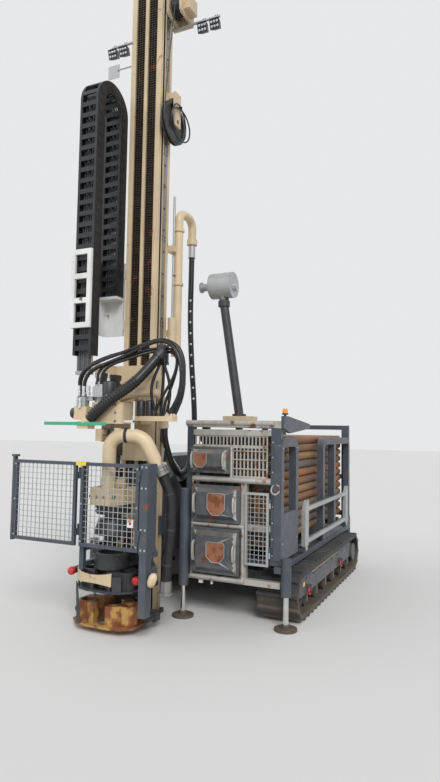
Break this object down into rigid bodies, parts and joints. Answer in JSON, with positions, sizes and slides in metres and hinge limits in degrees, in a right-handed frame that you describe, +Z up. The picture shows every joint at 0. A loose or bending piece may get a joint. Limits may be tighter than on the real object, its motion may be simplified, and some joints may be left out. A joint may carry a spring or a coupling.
{
  "type": "crawler drilling rig",
  "caption": "Crawler drilling rig with an upright feed mast, rotary heads, rod clamps, mesh guards, an energy chain and a side rack of drill rods; the mast folds back over its deck.",
  "frame": {"origin": "middle of the footprint's bounding box, on the ground", "axes": "+X to the machine's right as seen from the drilling end, +Y from the drill axis to the engine end, +Z up"},
  "size_m": [2.555, 4.1309, 7.08],
  "materials": {
    "frame_paint": "worn satin, dusty",
    "beige_paint": "worn satin, dusty",
    "hood_paint": "worn satin, dusty",
    "galvanised": "dull",
    "panel_paint": "worn, rusty shields",
    "track_steel": "muddy",
    "engine_iron": "matt",
    "rusty_steel": "rusty",
    "chain_steel": "greasy",
    "bare_steel": "worn",
    "chrome_rod": "polished",
    "barrel_paint": "satin",
    "chain_plastic": "dusty",
    "white_paint": "dusty",
    "amber_plastic": "clear gloss",
    "lamp_plastic": "matt",
    "hose_rubber": "matt"
  },
  "bodies": {
    "chassis": {"track_left": "track_steel", "track_right": "track_steel", "wheels_left": "track_steel", "wheels_right": "track_steel", "crawler_frame": "frame_paint", "main_deck": "frame_paint", "engine_block": "engine_iron", "engine_hood": "hood_paint", "fluid_tank": "hood_paint", "exhaust_stack": "galvanised", "rod_rack": "frame_paint", "drill_rods": "rusty_steel", "end_panels": "panel_paint", "rack_grids": "galvanised", "beacon": "amber_plastic", "rack_manifold": "beige_paint", "discharge_stack": "hose_rubber", "jack_tubes": "frame_paint"},
    "hood_door": {"hood_door": "hood_paint"},
    "side_guard": {"side_guard": "galvanised"},
    "mesh_gate": {"mesh_gate": "galvanised"},
    "cradle": {"mast_cradle": "frame_paint"},
    "tilt_barrel": {"tilt_barrel": "barrel_paint"},
    "tilt_rod": {"tilt_rod": "chrome_rod"},
    "mast": {"mast": "beige_paint", "feed_chains": "chain_steel", "mast_head": "beige_paint", "winch_frame": "frame_paint", "rope_guide": "frame_paint", "work_lights": "lamp_plastic", "standpipe": "beige_paint", "energy_chain": "chain_plastic", "chain_guide": "white_paint", "clamp_frame": "frame_paint", "guard_frame": "frame_paint", "rotary_hose": "hose_rubber"},
    "crown_sheave": {"crown_sheave": "bare_steel"},
    "winch_drum": {"winch_drum": "bare_steel"},
    "rope_sheave": {"rope_sheave": "bare_steel"},
    "guard_wing": {"guard_wing": "galvanised"},
    "guard_door": {"guard_door": "galvanised"},
    "carriage": {"head_carriage": "beige_paint", "upper_head": "beige_paint", "arch_hose_inner": "hose_rubber", "arch_hose_outer": "hose_rubber", "ribbed_hose": "hose_rubber"},
    "upper_spindle": {"upper_spindle": "bare_steel"},
    "lower_head": {"lower_head": "beige_paint", "discharge_coupling": "bare_steel", "discharge_hose": "hose_rubber"},
    "lower_spindle": {"lower_spindle": "bare_steel"},
    "jack_rod_1": {"jack_rod_1": "chrome_rod"},
    "jack_rod_2": {"jack_rod_2": "chrome_rod"},
    "jack_rod_3": {"jack_rod_3": "chrome_rod"},
    "jack_rod_4": {"jack_rod_4": "chrome_rod"},
    "jack_rod_5": {"jack_rod_5": "chrome_rod"},
    "lower_jaw_left": {"lower_jaw_left": "rusty_steel"},
    "lower_jaw_right": {"lower_jaw_right": "rusty_steel"},
    "upper_jaw_left": {"upper_jaw_left": "rusty_steel"},
    "upper_jaw_right": {"upper_jaw_right": "rusty_steel"}
  },
  "joints": [
    {"name": "mast_tilt", "type": "hinge", "parent": "chassis", "child": "cradle", "pos_m": [-0.2895, -0.9795, 1.25], "axis": [-1, 0, 0], "range_deg": [0, 90]},
    {"name": "barrel_swing", "type": "hinge", "parent": "chassis", "child": "tilt_barrel", "pos_m": [-0.2895, 0.2205, 0.75], "axis": [1, 0, 0], "range_deg": [-1, 3.88]},
    {"name": "rod_stroke", "type": "slide", "parent": "tilt_barrel", "child": "tilt_rod", "axis": [0, -0.79, 0.6131], "range_m": [-0.6365, 0.002]},
    {"name": "mast_shift", "type": "slide", "parent": "cradle", "child": "mast", "axis": [0, 0, 1], "range_m": [0, 0.5]},
    {"name": "crown_spin", "type": "hinge", "parent": "mast", "child": "crown_sheave", "pos_m": [-0.2895, -1.2995, 6.94], "axis": [1, 0, 0], "continuous": true},
    {"name": "winch_spin", "type": "hinge", "parent": "mast", "child": "winch_drum", "pos_m": [-0.2895, -1.2195, 6.23], "axis": [1, 0, 0], "continuous": true},
    {"name": "rope_sheave_spin", "type": "hinge", "parent": "mast", "child": "rope_sheave", "pos_m": [-0.0375, -1.2595, 4.96], "axis": [1, 0, 0], "continuous": true},
    {"name": "guard_wing_swing", "type": "hinge", "parent": "mast", "child": "guard_wing", "pos_m": [-0.5075, -2.0055, 1.1], "axis": [0, 0, -1], "range_deg": [0, 90]},
    {"name": "guard_door_swing", "type": "hinge", "parent": "mast", "child": "guard_door", "pos_m": [0.1525, -2.0515, 1.1], "axis": [0, 0, 1], "range_deg": [0, 100]},
    {"name": "carriage_feed", "type": "slide", "parent": "mast", "child": "carriage", "axis": [0, 0, 1], "range_m": [0, 3.3]},
    {"name": "upper_spin", "type": "hinge", "parent": "carriage", "child": "upper_spindle", "pos_m": [-0.2895, -1.7795, 1.6], "axis": [0, 0, -1], "continuous": true},
    {"name": "lower_slide", "type": "slide", "parent": "carriage", "child": "lower_head", "axis": [0, 0, 1], "range_m": [-0.1, 0.025]},
    {"name": "lower_spin", "type": "hinge", "parent": "lower_head", "child": "lower_spindle", "pos_m": [-0.2895, -1.7795, 1.1], "axis": [0, 0, -1], "continuous": true},
    {"name": "lower_jaw_left_close", "type": "slide", "parent": "mast", "child": "lower_jaw_left", "axis": [1, 0, 0], "range_m": [0, 0.054]},
    {"name": "lower_jaw_right_close", "type": "slide", "parent": "mast", "child": "lower_jaw_right", "axis": [-1, 0, 0], "range_m": [0, 0.054]},
    {"name": "upper_jaw_left_close", "type": "slide", "parent": "mast", "child": "upper_jaw_left", "axis": [1, 0, 0], "range_m": [0, 0.054]},
    {"name": "upper_jaw_right_close", "type": "slide", "parent": "mast", "child": "upper_jaw_right", "axis": [-1, 0, 0], "range_m": [0, 0.054]},
    {"name": "mesh_gate_swing", "type": "hinge", "parent": "chassis", "child": "mesh_gate", "pos_m": [1.0145, -1.1435, 0.88], "axis": [0, 0, 1], "range_deg": [0, 110]},
    {"name": "hood_door_swing", "type": "hinge", "parent": "chassis", "child": "hood_door", "pos_m": [-1.0685, 0.3385, 1.03], "axis": [0, 0, 1], "range_deg": [0, 110]},
    {"name": "side_guard_fold", "type": "hinge", "parent": "chassis", "child": "side_guard", "pos_m": [1.1465, 0.4205, 0.6], "axis": [0, 1, 0], "range_deg": [0, 90]},
    {"name": "jack_1_lift", "type": "slide", "parent": "chassis", "child": "jack_rod_1", "axis": [0, 0, 1], "range_m": [0, 0.22]},
    {"name": "jack_2_lift", "type": "slide", "parent": "chassis", "child": "jack_rod_2", "axis": [0, 0, 1], "range_m": [0, 0.22]},
    {"name": "jack_3_lift", "type": "slide", "parent": "chassis", "child": "jack_rod_3", "axis": [0, 0, 1], "range_m": [0, 0.22]},
    {"name": "jack_4_lift", "type": "slide", "parent": "chassis", "child": "jack_rod_4", "axis": [0, 0, 1], "range_m": [0, 0.22]},
    {"name": "jack_5_lift", "type": "slide", "parent": "chassis", "child": "jack_rod_5", "axis": [0, 0, 1], "range_m": [0, 0.22]}
  ],
  "couplings": [
    {"joint": "barrel_swing", "follows": "mast_tilt", "ratio": 0.031954},
    {"joint": "rod_stroke", "follows": "mast_tilt", "m_per_rad": -0.40393}
  ]
}
